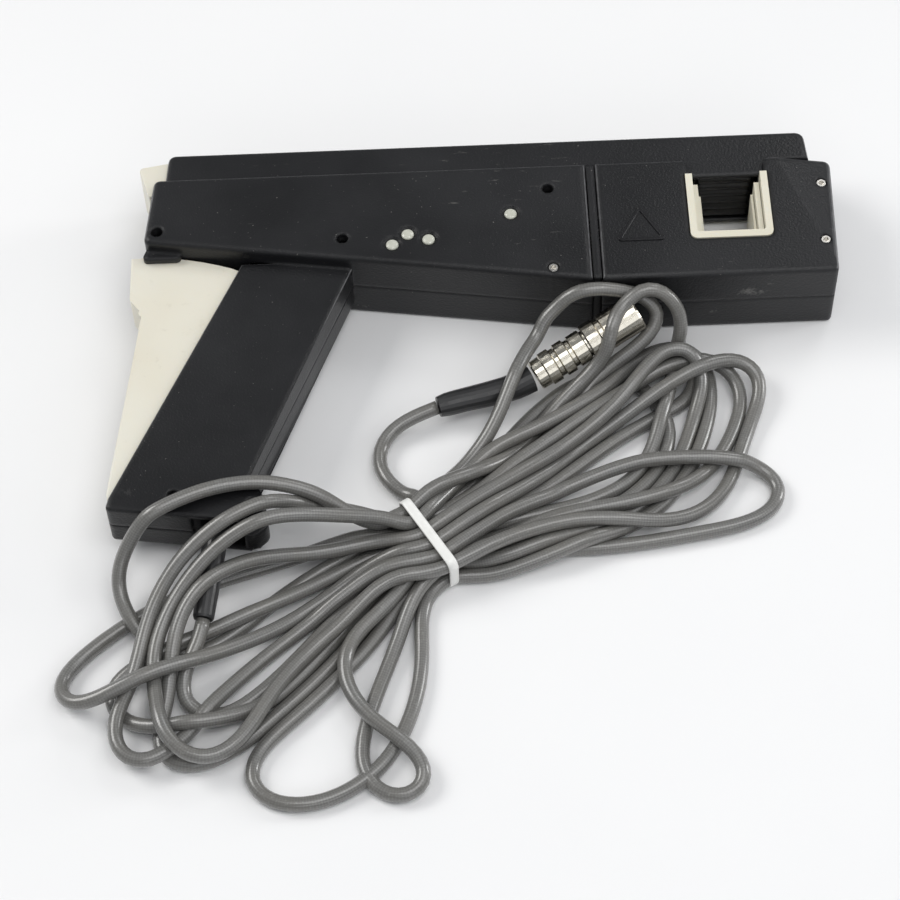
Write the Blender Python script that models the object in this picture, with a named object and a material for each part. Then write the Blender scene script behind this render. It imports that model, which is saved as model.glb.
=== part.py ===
"""A corded, lever-operated labelling gun lying on its side, with its tied cord and plug.

X runs along the barrel to the nose, Y is the gun's own upward direction, Z rises from the surface
that it lies on. The two half shells meet at the middle plane, and "near" is the upper half.
All the design values are millimetres and degrees; meshes are written in metres.
"""
import math

import bmesh
import bpy
from mathutils import Matrix, Vector

MM = 0.001
# Design coordinates of the model's origin, which is under the middle of the gun's outline.
ORIGIN = (-0.226, -3.661, 0.0)
THICKNESS = 38.0
MID = THICKNESS / 2
HALF_GAP = 0.15
GAP = 0.3
WALL = 2.0
EDGE_ROUND = 1.9

# Barrel housing: the rear shells run from the rear wall to the seam, the nozzle covers from there on.
TOP_Y = 74.0
REAR_TOP_X = -138.5
REAR_BOTTOM = (-142.3, 40.2)
NOZZLE_BOTTOM_Y = 12.0
SEAM = (48.0, 52.0)
NOSE_TOP_X = 154.5
NOSE_BOTTOM_X = 151.5
NOSE_HOLLOW = 11.5
BARREL_SLOPE = (NOZZLE_BOTTOM_Y - REAR_BOTTOM[1]) / (50.0 - REAR_BOTTOM[0])

# Handle half: thickness above the middle plane, front edge, bottom edge and the border of the lever.
HANDLE_HALF = 12.0
FRONT_TOP = (-51.5, 32.0)
FRONT_BOTTOM = (-98.3, -77.3)
BOTTOM_RIGHT = (-95.3, -96.6)
BOTTOM_LEFT = (-155.0, -88.6)
BORDER_BOTTOM = (-153.6, -83.0)
BORDER_TOP = (-100.8, 32.0)

# Squeeze lever, about its pivot pin.
PIVOT = (-147.5, -81.5)
LEVER_RADIUS = 120.6
LEVER_HALF = 9.7
LEVER_WALL = 2.5
ARM_HALF = 3.0

# Top rail with the press head inside it.
RAIL_BOTTOM_Y = 66.2
RAIL_TOP_Y = 89.0
RAIL_HALF = 16.7
RAIL_REAR_X = -134.6
RAIL_FRONT_X = 145.6
RAIL_STEP = (128.0, TOP_Y + GAP)

# Through slot and its stepped liner.
SLOT_LEFT = 90.6
SLOT_RIGHT = 125.8
SLOT_BOTTOM = 31.0
LINER_TOP = 65.8
LINER_STEPS = (
    ("slot_liner_outer", 0.0, 3.0, 3.4, LINER_TOP, 18.7, 19.4),
    ("slot_liner_inner", 3.3, 2.2, 1.8, 63.0, 15.5, 15.0),
    ("tag_guide", 5.8, 1.0, 1.0, 60.0, 11.0, 10.5),
)

# Push rod, cam and carriage.
ROD_HALF = 2.5
ROD_Y = (50.0, 56.0)
ROD_REAR_X = -108.4
CAM_PIN = (60.0, 55.0)
CAM_PIN_RADIUS = 1.6
CAM_TRAVEL = (19.1, 6.0)
PLUNGER_X = -78.0

# Screws: name, x, y, height of the seat above the middle plane, head radius, dark head.
# A seat above DEEP_SEAT is in the body, where the blind bore on the far side is deeper.
SCREWS = (
    ("screw_nose_upper", 149.2, 60.7, 13.4, 2.2, False),
    ("screw_nose_lower", 147.6, 28.6, 15.6, 2.2, False),
    ("screw_barrel_front", 31.5, 18.8, 16.2, 2.2, False),
    ("screw_barrel_top", 31.2, 60.9, 11.0, 2.3, True),
    ("screw_barrel_mid", -57.4, 38.1, 11.0, 2.3, True),
    ("screw_barrel_rear", -136.6, 45.4, 11.0, 2.3, True),
    ("screw_handle_toe", -95.3, -89.3, 5.0, 2.8, True),
    ("screw_handle_rear", -127.3, -83.4, 5.0, 2.3, True),
)
SCREW_HEAD = 2.5
SHANK_RADIUS = 1.2
BOSS_EXTRA = 2.0
DEEP_SEAT = 8.0
DEEP_BORE = 12.0
SHALLOW_BORE = 8.0

# Status lamps and the circuit board behind them.
LAMPS = ((-36.2, 34.2), (-29.5, 39.4), (-20.7, 36.3), (14.7, 48.3))
LAMP_RADIUS = 2.7
LAMP_BASE = 13.0

# Strain relief boot and cord.
CORD_RADIUS = 3.0
BOOT_START = (-109.9, -86.5, 19.0)
BOOT_END = (-116.0, -130.8, 13.0)
LEAD_ROUTE = (
    (-116.05, -131.1, 12.95), (-117.0, -137.0, 11.8), (-119.2, -143.0, 10.6), (-122.6, -149.0, 9.8),
)
TAIL_ROUTE = (
    (-31.0, -71.5, 8.0), (-40.0, -65.5, 6.2), (-44.5, -55.0, 4.0), (-42.0, -43.0, 4.6), (-33.0, -35.5, 6.6),
    (-19.6, -30.6, 8.9),
)

# Tied hank of cord, along an axis turned in the plane of the surface.
HANK_CENTRE = (-25.0, -97.0)
HANK_ANGLE = 31.0
HANK_LOW = 1.9
HANK_HIGH = 21.0
HANK_OUTLINE = (
    (10, 20, 4), (40, 31, 14), (150, 31, 20), (163, -10, 24), (142, -58, 18), (60, -40, 40),
    (12, -20, 10), (-14, -20, 10), (-48, -78, 14), (-72, -86, 12), (-122, -46, 20), (-160, -12, 20),
    (-165, 26, 12), (-128, 44, 8), (-112, 0, 8), (-82, 0, 8), (-62, 24, 12), (-10, 20, 6),
)
TIE_WIDTH = 3.6

# Circular plug: its axis and sections.
PLUG_START = (21.0, -18.6, 10.6)
PLUG_END = (66.0, 2.9, 25.5)
PLUG_BOOT_ROUTE = (
    (-19.2, -30.45, 8.95), (-9.0, -27.6, 9.0), (2.0, -25.0, 9.0), (12.0, -22.3, 9.3), (20.6, -18.8, 10.4),
)


def clear_scene():
    for obj in list(bpy.data.objects):
        bpy.data.objects.remove(obj, do_unlink=True)


def make_material(name, colour, roughness, metallic=0.0):
    material = bpy.data.materials.new(name)
    material.use_nodes = True
    shader = material.node_tree.nodes["Principled BSDF"]
    shader.inputs["Base Color"].default_value = (*colour, 1.0)
    shader.inputs["Roughness"].default_value = roughness
    shader.inputs["Metallic"].default_value = metallic
    return material


def make_materials():
    return {
        "black": make_material("black_plastic", (0.021, 0.022, 0.025), 0.42),
        "cream": make_material("cream_plastic", (0.73, 0.70, 0.60), 0.45),
        "steel": make_material("steel", (0.62, 0.60, 0.56), 0.3, 1.0),
        "dark_steel": make_material("dark_steel", (0.05, 0.05, 0.055), 0.4, 1.0),
        "chrome": make_material("chrome", (0.75, 0.74, 0.72), 0.15, 1.0),
        "lens": make_material("lens", (0.72, 0.74, 0.72), 0.3),
        "board": make_material("board", (0.03, 0.16, 0.07), 0.5),
        "rubber": make_material("rubber", (0.03, 0.03, 0.032), 0.6),
        "grey": make_material("cord_grey", (0.24, 0.24, 0.23), 0.4),
        "white": make_material("tie_white", (0.85, 0.85, 0.84), 0.4),
        "amber": make_material("inner_plastic", (0.34, 0.24, 0.12), 0.5),
    }


def finish_mesh(name, shape, material, origin=(0.0, 0.0, 0.0), smooth_degrees=32.0):
    """Turn a bmesh in world millimetres into an object in metres, with its origin where asked."""
    bmesh.ops.recalc_face_normals(shape, faces=shape.faces)
    bmesh.ops.translate(shape, verts=shape.verts, vec=-Vector(origin))
    bmesh.ops.scale(shape, verts=shape.verts, vec=(MM, MM, MM))
    mesh = bpy.data.meshes.new(name)
    shape.to_mesh(mesh)
    shape.free()
    mesh.shade_smooth()
    mesh.set_sharp_from_angle(angle=math.radians(smooth_degrees))
    obj = bpy.data.objects.new(name, mesh)
    obj.location = (Vector(origin) - Vector(ORIGIN)) * MM
    bpy.context.scene.collection.objects.link(obj)
    if material:
        mesh.materials.append(material)
    return obj


def rounded(corners, steps=4):
    """Outline points from corners (x, y, radius), with an arc at each corner that has a radius."""
    points = []
    count = len(corners)
    for index, (x, y, radius) in enumerate(corners):
        here = Vector((x, y))
        if radius <= 0.0:
            points.append(here)
            continue
        before = (Vector(corners[index - 1][:2]) - here).normalized()
        after = (Vector(corners[(index + 1) % count][:2]) - here).normalized()
        half = before.angle(after) / 2
        start = here + before * radius / math.tan(half)
        centre = here + (before + after).normalized() * radius / math.sin(half)
        sweep = (start - centre).angle_signed(here + after * radius / math.tan(half) - centre)
        for step in range(steps + 1):
            arm = (start - centre).copy()
            arm.rotate(Matrix.Rotation(-sweep * step / steps, 2))
            points.append(centre + arm)
    return points


def prism_shape(points, low, high, side=1, round_top=0.0, round_low=0.0, segments=3, height=None,
                crease=None):
    """Prism between two heights above the middle plane, mirrored below it when side is -1."""
    shape = bmesh.new()
    level = lambda point: MID + side * (height(point) if height else high)
    top = [shape.verts.new((point[0], point[1], level(point))) for point in points]
    low_ring = [shape.verts.new((point[0], point[1], MID + side * low)) for point in points]
    top_face = shape.faces.new(top)
    shape.faces.new(low_ring[::-1])
    for index in range(len(points)):
        after = (index + 1) % len(points)
        shape.faces.new((top[index], low_ring[index], low_ring[after], top[after]))
    if crease:
        bmesh.utils.face_split(top_face, top[crease[0]], top[crease[1]])
    if round_top:
        around = [shape.edges.get((top[i], top[(i + 1) % len(top)])) for i in range(len(top))]
        bmesh.ops.bevel(shape, geom=around, offset=round_top, segments=segments, profile=0.5, affect="EDGES",
                        clamp_overlap=True)
    if round_low:
        around = [shape.edges.get((low_ring[i], low_ring[(i + 1) % len(top)])) for i in range(len(top))]
        bmesh.ops.bevel(shape, geom=around, offset=round_low, segments=segments, profile=0.5, affect="EDGES",
                        clamp_overlap=True)
    return shape


def prism(name, points, low, high, material=None, side=1, origin=(0.0, 0.0, 0.0), **options):
    return finish_mesh(name, prism_shape(points, low, high, side, **options), material, origin)


def rectangle(left, bottom, right, top, radius=0.0):
    return rounded([
        (left, bottom, radius), (right, bottom, radius), (right, top, radius), (left, top, radius),
    ])


def slab_along_x(name, outline_yz, low_x, high_x, material):
    shape = bmesh.new()
    first = [shape.verts.new((low_x, y, z)) for y, z in outline_yz]
    second = [shape.verts.new((high_x, y, z)) for y, z in outline_yz]
    shape.faces.new(first)
    shape.faces.new(second[::-1])
    for index in range(len(first)):
        after = (index + 1) % len(first)
        shape.faces.new((first[index], second[index], second[after], first[after]))
    return finish_mesh(name, shape, material)


def swept_shape(centres, radii, sides):
    """Closed round body along centres, one ring of the given radius at each."""
    shape = bmesh.new()
    spine = [Vector(centre) for centre in centres]
    rings = []
    for index, centre in enumerate(spine):
        ahead = spine[min(index + 1, len(spine) - 1)] - spine[max(index - 1, 0)]
        turn = Vector((0.0, 0.0, 1.0)).rotation_difference(ahead.normalized())
        ring = []
        for step in range(sides):
            angle = 2 * math.pi * step / sides
            arm = Vector((math.cos(angle), math.sin(angle), 0.0)) * radii[index]
            ring.append(shape.verts.new(centre + turn @ arm))
        rings.append(ring)
    for lower, upper in zip(rings, rings[1:]):
        for step in range(sides):
            after = (step + 1) % sides
            shape.faces.new((lower[step], lower[after], upper[after], upper[step]))
    shape.faces.new(rings[0][::-1])
    shape.faces.new(rings[-1])
    return shape


def turned(name, start, end, profile, material, sides=24, origin=(0.0, 0.0, 0.0)):
    """Round body on the line from start to end; profile holds (distance along it, radius)."""
    first = Vector(start)
    along = (Vector(end) - first).normalized()
    turn = Vector((0.0, 0.0, 1.0)).rotation_difference(along)
    shape = bmesh.new()
    rings = []
    for distance, radius in profile:
        ring = []
        for step in range(sides):
            angle = 2 * math.pi * step / sides
            arm = Vector((math.cos(angle), math.sin(angle), 0.0)) * radius
            ring.append(shape.verts.new(first + along * distance + turn @ arm))
        rings.append(ring)
    for lower, upper in zip(rings, rings[1:]):
        for step in range(sides):
            after = (step + 1) % sides
            shape.faces.new((lower[step], lower[after], upper[after], upper[step]))
    shape.faces.new(rings[0][::-1])
    shape.faces.new(rings[-1])
    return finish_mesh(name, shape, material, origin)


def rod_up(name, x, y, low, high, radius, material=None, sides=20, side=1):
    """Upright cylinder between two heights above the middle plane."""
    start = (x, y, MID + side * low)
    end = (x, y, MID + side * high)
    length = abs(high - low)
    return turned(name, start, end, ((0.0, radius), (length, radius)), material, sides)


def apply_boolean(target, tool, operation):
    modifier = target.modifiers.new(operation.lower(), "BOOLEAN")
    modifier.operation = operation
    modifier.solver = "EXACT"
    modifier.object = tool
    tool.hide_render = True
    tool.display_type = "WIRE"


def cut(target, *tools):
    for tool in tools:
        apply_boolean(target, tool, "DIFFERENCE")


def unite(target, *tools):
    for tool in tools:
        apply_boolean(target, tool, "UNION")


def barrel_bottom(x):
    return REAR_BOTTOM[1] + BARREL_SLOPE * (x - REAR_BOTTOM[0])


def side_name(side):
    return "near" if side > 0 else "far"


def screw_boss(side, name, x, y, head, wall_height):
    """Boss that a screw passes through, from the shell's wall to the middle plane."""
    return rod_up("boss_" + name + side_name(side), x, y, HALF_GAP, wall_height - WALL + 0.6,
                  head + BOSS_EXTRA, side=side)


def screw_bores(side, name, x, y, seat, head):
    """Cutters for a screw: counterbore and clearance on the near side, a blind bore on the far side."""
    if side < 0:
        depth = DEEP_BORE if seat > DEEP_SEAT else SHALLOW_BORE
        return [rod_up("thread_" + name, x, y, -1.0, depth, SHANK_RADIUS + GAP, side=side)]
    return [
        rod_up("counterbore_" + name, x, y, seat, MID + 2.0, head + GAP, sides=24),
        rod_up("clearance_" + name, x, y, -1.0, seat + 0.5, SHANK_RADIUS + GAP),
    ]


def fit_screws(shell, side, chosen, wall_height):
    for name, x, y, _, head, _ in SCREWS:
        if name in chosen:
            unite(shell, screw_boss(side, name, x, y, head, wall_height))
    for name, x, y, seat, head, _ in SCREWS:
        if name in chosen:
            cut(shell, *screw_bores(side, name, x, y, seat, head))


def rear_shell(side, materials):
    """Half of the rear housing: barrel and handle in one moulding."""
    label = side_name(side)
    seam_x = SEAM[0]
    barrel = rounded([
        (REAR_BOTTOM[0], REAR_BOTTOM[1], 3.0), (seam_x, barrel_bottom(seam_x), 0.0),
        (seam_x, TOP_Y, 0.0), (REAR_TOP_X, TOP_Y, 3.0),
    ])
    shell = prism(label + "_rear_shell", barrel, HALF_GAP, MID, materials["black"], side,
                  round_top=EDGE_ROUND)
    handle = rounded([
        (*BORDER_TOP, 0.0), (*BORDER_BOTTOM, 0.0), (*BOTTOM_LEFT, 2.0), (*BOTTOM_RIGHT, 5.0),
        (-89.4, -92.0, 4.0), (-90.6, -84.6, 4.0), (*FRONT_BOTTOM, 3.0), (*FRONT_TOP, 0.0),
    ], steps=3)
    unite(shell, prism("handle_" + label, handle, HALF_GAP, HANDLE_HALF, None, side, round_top=1.3))
    lip = rounded([(-143.4, 35.2, 1.5), (-126.6, 35.2, 2.2), (-126.6, 41.5, 0.0), (-141.0, 41.5, 0.0)])
    unite(shell, prism("lip_" + label, lip, LEVER_HALF + GAP + 0.2, LEVER_HALF + GAP + 3.0, None, side))
    inside = [
        (REAR_BOTTOM[0] + WALL, barrel_bottom(REAR_BOTTOM[0] + WALL) + WALL),
        (seam_x + 5, barrel_bottom(seam_x) + WALL),
        (seam_x + 5, TOP_Y + 5), (REAR_TOP_X + WALL, TOP_Y + 5),
    ]
    cut(shell, prism("hollow_barrel_" + label, inside, -1.0, MID - WALL, None, side))
    grip = [
        (-97.0, 42.0), (-97.0, 30.5), (-175.0, 30.5), (-175.0, -85.8), (-153.0, -85.8), (-100.0, -93.6),
        (-100.6, -76.8), (FRONT_TOP[0] - 7.0, 22.0), (FRONT_TOP[0] - 7.0, 42.0),
    ]
    cut(shell, prism("hollow_grip_" + label, grip, -1.0, HANDLE_HALF - WALL, None, side))
    arm_slot = rectangle(-123.0, 30.0, -89.0, 44.0)
    tab_slot = rectangle(-150.0, 66.0, -130.0, 80.0)
    recess = rectangle(-120.2, -100.0, -99.4, -91.6)
    gland = turned("gland_bore_" + label, (BOOT_START[0] + 0.7, BOOT_START[1] + 5, MID + 0.2),
                   (BOOT_END[0], BOOT_END[1], BOOT_END[2]), ((0.0, 5.9), (14.0, 5.9)), None)
    cut(shell, prism("arm_slot_" + label, arm_slot, -1.0, ARM_HALF + 1.0, None, side),
        prism("tab_slot_" + label, tab_slot, -1.0, 14.8, None, side),
        prism("recess_" + label, recess, -1.0, HANDLE_HALF - WALL - 0.2, None, side), gland)
    pivot_seat = rod_up("pivot_seat_" + label, *PIVOT, -1.0, HANDLE_HALF - 0.8, 2.3, side=side)
    cut(shell, pivot_seat)
    barrel_screws = ("screw_barrel_front", "screw_barrel_top", "screw_barrel_mid", "screw_barrel_rear")
    fit_screws(shell, side, barrel_screws, MID)
    fit_screws(shell, side, ("screw_handle_toe", "screw_handle_rear"), HANDLE_HALF)
    if side > 0:
        for index, (x, y) in enumerate(LAMPS):
            cut(shell, rod_up(f"lamp_hole_{index}", x, y, LAMP_BASE - 2.0, MID + 1.0, LAMP_RADIUS + GAP),
                rod_up(f"lamp_pocket_{index}", x, y, MID - 0.5, MID + 1.0, LAMP_RADIUS + 1.3, sides=24))
        for index, (x, y) in enumerate(((-46.0, 54.0), (22.0, 35.0))):
            unite(shell, rod_up(f"board_post_{index}", x, y, 12.9, MID - 1.0, 2.0, sides=12))
    else:
        for index, (x, y) in enumerate(((-81.0, 41.5), (-67.5, 43.5))):
            unite(shell, rod_up(f"switch_post_{index}", x, y, 3.5, MID - 1.0, 2.2, sides=12, side=side))
    return shell


def nozzle_cover(side, materials):
    """Half of the heat-shielding nozzle, notched for the through slot, with a sloping nose facet."""
    label = side_name(side)
    crease_top = Vector((131.0, TOP_Y))
    crease_low = Vector((151.65, 15.0))
    across = Vector((crease_top.y - crease_low.y, crease_low.x - crease_top.x)).normalized()

    def facet(point):
        return MID - 0.2 * max(0.0, (Vector(point[:2]) - crease_top).dot(across))

    outline = rounded([
        (SEAM[1], NOZZLE_BOTTOM_Y, 0.0), (NOSE_BOTTOM_X, NOZZLE_BOTTOM_Y, 2.0),
        (crease_low.x, crease_low.y, 0.0),
        (NOSE_TOP_X, TOP_Y, 3.0), (crease_top.x, crease_top.y, 0.0), (SEAM[1], TOP_Y, 0.0),
    ])
    low_index = 6
    top_index = len(outline) - 2
    cover = prism(label + "_nozzle_cover", outline, HALF_GAP, MID, materials["black"], side,
                  round_top=EDGE_ROUND, height=facet, crease=(low_index, top_index))
    step_x = RAIL_STEP[0] + GAP
    inside = rectangle(SEAM[1] - 5, NOZZLE_BOTTOM_Y + WALL, step_x, TOP_Y + 5)
    nose_inside = [
        (step_x - 5, NOZZLE_BOTTOM_Y + WALL), (NOSE_BOTTOM_X - WALL, NOZZLE_BOTTOM_Y + WALL),
        (NOSE_TOP_X - WALL - 0.4, TOP_Y - WALL), (step_x - 5, TOP_Y - WALL),
    ]
    notch_low = rounded([
        (SLOT_LEFT - 0.4, SLOT_BOTTOM - 0.4, 3.4), (SLOT_RIGHT + 0.4, SLOT_BOTTOM - 0.4, 3.4),
        (SLOT_RIGHT + 0.4, LINER_TOP + 0.4, 0.0), (SLOT_LEFT - 0.4, LINER_TOP + 0.4, 0.0),
    ])
    notch_high = rounded([
        (SLOT_LEFT + 1.0, 60.0, 0.0), (SLOT_RIGHT - 1.0, 60.0, 0.0), (SLOT_RIGHT - 1.0, TOP_Y - 0.1, 2.6),
        (SLOT_RIGHT + 8.0, TOP_Y - 0.1, 0.0), (SLOT_RIGHT + 8.0, TOP_Y + 4.0, 0.0),
        (SLOT_LEFT - 8.0, TOP_Y + 4.0, 0.0), (SLOT_LEFT - 8.0, TOP_Y - 0.1, 0.0),
        (SLOT_LEFT + 1.0, TOP_Y - 0.1, 2.6),
    ])
    cut(cover, prism("hollow_nozzle_" + label, inside, -1.0, MID - WALL, None, side),
        prism("hollow_nose_" + label, nose_inside, -1.0, NOSE_HOLLOW, None, side),
        prism("notch_low_" + label, notch_low, -1.0, MID + 2.0, None, side),
        prism("notch_high_" + label, notch_high, -1.0, MID + 2.0, None, side))
    fit_screws(cover, side, ("screw_nose_upper", "screw_nose_lower"), NOSE_HOLLOW + WALL)
    return cover


def make_shells(materials):
    for side in (1, -1):
        rear_shell(side, materials)
        nozzle_cover(side, materials)


def make_seam_band(materials):
    """U-shaped insulating band in the groove between the rear housing and the nozzle."""
    outer = 18.4
    inner = 16.2
    low = NOZZLE_BOTTOM_Y + 0.9
    outline = (
        (low, MID - outer), (low, MID + outer), (TOP_Y - 0.6, MID + outer), (TOP_Y - 0.6, MID + inner + 0.9),
        (low + 2.2, MID + inner + 0.9), (low + 2.2, MID - inner - 0.9), (TOP_Y - 0.6, MID - inner - 0.9),
        (TOP_Y - 0.6, MID - outer),
    )
    slab_along_x("seam_band", outline, SEAM[0] + GAP, SEAM[1] - GAP, materials["rubber"])


def make_rail(materials):
    """Hollow top rail, open at its rear end and above the slot."""
    outline = rounded([
        (RAIL_REAR_X, RAIL_BOTTOM_Y, 0.0), (RAIL_FRONT_X, RAIL_BOTTOM_Y, 0.0),
        (RAIL_FRONT_X - 1.6, RAIL_TOP_Y, 4.0), (RAIL_REAR_X + 2.0, RAIL_TOP_Y, 3.4),
    ])
    rail = prism("top_rail", outline, -RAIL_HALF, RAIL_HALF, materials["black"], round_top=1.4, round_low=1.4)
    step = rectangle(RAIL_STEP[0], RAIL_BOTTOM_Y - 5, RAIL_FRONT_X + 5, RAIL_STEP[1])
    hollow = rectangle(RAIL_REAR_X - 5, RAIL_BOTTOM_Y + WALL, RAIL_STEP[0] - WALL, RAIL_TOP_Y - WALL)
    front_hollow = rectangle(RAIL_STEP[0] - 8, RAIL_STEP[1] + WALL, RAIL_FRONT_X - 4, RAIL_TOP_Y - WALL)
    mouth = rectangle(93.8, 60.0, 122.6, 72.0)
    leg_slot = rectangle(54.8, 60.0, 65.2, 72.0)
    half = RAIL_HALF - WALL
    cut(rail, prism("rail_step", step, -MID, MID), prism("rail_hollow", hollow, -half, half),
        prism("rail_front_hollow", front_hollow, -half, half),
        prism("rail_mouth", mouth, -half, half),
        prism("rail_leg_slot", leg_slot, 2.2, 6.8))


def make_release_tab(materials):
    """Cream release tab that slides in the rear end of the rail."""
    outline = rounded([
        (-141.2, 68.6, 1.0), (-124.0, 68.6, 0.0), (-124.0, 86.6, 0.0), (-134.0, 86.6, 0.0),
        (-146.0, 84.4, 1.6),
    ])
    prism("release_tab", outline, -14.3, 14.3, materials["cream"], round_top=0.8, round_low=0.8, segments=2,
          origin=(-134.0, 77.6, MID))


def make_slot_liner(materials):
    """Three nested U-shaped steps that line the slot."""
    for name, inset, wall, floor, top, near, far in LINER_STEPS:
        left = SLOT_LEFT + inset
        right = SLOT_RIGHT - inset
        bottom = SLOT_BOTTOM + (inset + 0.4 if inset else 0.0)
        corner = max(0.6, 3.0 - inset * 0.6)
        outline = rounded([
            (left, bottom, corner), (right, bottom, corner), (right, top, 0.0), (right - wall, top, 0.0),
            (right - wall, bottom + floor, 1.0), (left + wall, bottom + floor, 1.0), (left + wall, top, 0.0),
            (left, top, 0.0),
        ])
        prism(name, outline, -near, far, materials["cream"])


def make_lamps(materials):
    lens_top = MID - LAMP_BASE + 0.1
    for index, (x, y) in enumerate(LAMPS):
        profile = (
            (0.0, LAMP_RADIUS), (lens_top - 0.7, LAMP_RADIUS), (lens_top - 0.3, LAMP_RADIUS * 0.9),
            (lens_top, LAMP_RADIUS * 0.6),
        )
        turned(f"status_lamp_{index + 1}", (x, y, MID + LAMP_BASE), (x, y, THICKNESS), profile,
               materials["lens"])


def make_board(materials):
    prism("circuit_board", rectangle(-50.0, 31.2, 26.0, 58.0), 11.0, 12.6, materials["board"])


def make_switch(materials):
    body = prism("microswitch_body", rectangle(-84.0, 38.0, -64.0, 46.8), -3.2, 3.2, materials["rubber"])
    bore = turned("plunger_bore", (PLUNGER_X, 43.6, MID), (PLUNGER_X, 60.0, MID), ((0.0, 1.5), (6.0, 1.5)),
                  None, 12)
    cut(body, bore)
    turned("microswitch_plunger", (PLUNGER_X, 45.0, MID), (PLUNGER_X, 60.0, MID),
           ((0.0, 1.15), (3.6, 1.15), (4.2, 0.7)), materials["amber"], 12, origin=(PLUNGER_X, 45.0, MID))


def make_lever(materials):
    """Cream palm lever: a hollow wedge open to the front, with an arm that reaches into the barrel."""
    arc = []
    for degrees in (66.6, 69.5, 72.5, 75.5, 78.5, 81.5, 84.5, 87.5, 90.4):
        angle = math.radians(degrees)
        reach = Vector((math.cos(angle), math.sin(angle))) * LEVER_RADIUS
        arc.append((PIVOT[0] + reach.x, PIVOT[1] + reach.y, 0.0))
    rear = [
        (-148.3, 16.6, 4.0), (-142.9, 9.6, 4.0), (-154.8, -79.0, 0.0), (-154.0, -84.6, 2.5),
        (-143.0, -85.4, 3.0),
    ]
    outline = rounded(arc + rear, steps=4)
    lever = prism("squeeze_lever", outline, -LEVER_HALF, LEVER_HALF, materials["cream"], round_top=1.0,
                  round_low=1.0, segments=2, origin=(*PIVOT, MID))
    inner = LEVER_RADIUS - LEVER_WALL
    hollow = [(-145.4, -72.0), (-122.0, -40.0), (-80.0, 20.0), (-80.0, 31.0)]
    for degrees in (63.0, 69.0, 75.0, 81.0, 87.5):
        angle = math.radians(degrees)
        hollow.append((PIVOT[0] + inner * math.cos(angle), PIVOT[1] + inner * math.sin(angle)))
    hollow += [(-145.2, 18.0), (-140.2, 9.0)]
    cut(lever, prism("lever_hollow", hollow, -LEVER_HALF + LEVER_WALL, LEVER_HALF - LEVER_WALL))
    arm = rounded([
        (-122.0, 34.5, 0.0), (-109.8, 33.6, 0.0), (-109.2, 50.0, 0.0), (-109.2, 61.5, 3.9),
        (-117.0, 61.5, 3.9),
        (-117.5, 50.0, 0.0),
    ])
    unite(lever, prism("lever_arm", arm, -ARM_HALF, ARM_HALF))
    spring_room = rod_up("spring_room", *PIVOT, -6.0, 6.0, 6.2)
    cut(lever, spring_room, rod_up("lever_bore", *PIVOT, -12.0, 12.0, 2.3))
    rod_up("lever_pin", *PIVOT, -10.9, 10.9, 2.0, materials["steel"])


def make_lever_spring(materials):
    """Torsion spring around the lever's pin."""
    turns = 5
    per_turn = 14
    coil = []
    for step in range(turns * per_turn + 1):
        angle = 2 * math.pi * step / per_turn
        rise = -4.2 + 8.4 * step / (turns * per_turn)
        coil.append((PIVOT[0] + 3.6 * math.cos(angle), PIVOT[1] + 3.6 * math.sin(angle), MID + rise))
    shape = swept_shape(coil, [0.5] * len(coil), 6)
    finish_mesh("lever_spring", shape, materials["steel"], (*PIVOT, MID), 60.0)


def make_push_rod(materials):
    """Stamped push rod: tapered over the switch, with the inclined cam slot at its front end."""
    travel, drop = CAM_TRAVEL
    outline = rounded([
        (ROD_REAR_X, 48.4, 0.0), (-99.0, 48.4, 0.0), (-76.0, 49.6, 0.0), (-75.5, ROD_Y[0], 0.0),
        (33.0, ROD_Y[0], 0.0),
        (36.0, 43.5, 2.0), (68.0, 46.0, 3.0), (68.0, 61.0, 3.0), (38.0, 61.0, 3.0), (34.0, ROD_Y[1], 0.0),
        (-99.0, ROD_Y[1], 0.0), (-102.0, 61.0, 1.5), (ROD_REAR_X, 61.0, 1.5),
    ])
    rod = prism("push_rod", outline, -ROD_HALF, ROD_HALF, materials["steel"], origin=(ROD_REAR_X, 53.0, MID))
    reach = CAM_PIN_RADIUS + GAP
    front = Vector(CAM_PIN)
    rear = front - Vector((travel, drop))
    along = (front - rear).normalized()
    slope = math.atan2(along.y, along.x)
    slot = []
    for centre, turn in ((front, -90.0), (rear, 90.0)):
        for step in range(9):
            angle = slope + math.radians(turn + 22.5 * step)
            slot.append(centre + Vector((math.cos(angle), math.sin(angle))) * reach)
    cut(rod, prism("cam_slot", slot, -6.0, 6.0))
    rod_up("cam_pin", *CAM_PIN, -ROD_HALF - 0.7, 6.7, CAM_PIN_RADIUS, materials["dark_steel"], 16)


def make_rod_guides(materials):
    for name, x in (("rod_guide_rear", -44.0), ("rod_guide_front", 4.0)):
        guide = prism(name, rectangle(x, 46.0, x + 8.0, 59.6), -MID + WALL + GAP, 6.0, materials["amber"])
        cut(guide, prism("bore_" + name, rectangle(x - 2, ROD_Y[0] - GAP, x + 10, ROD_Y[1] + GAP),
                         -ROD_HALF - GAP, ROD_HALF + GAP))


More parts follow.
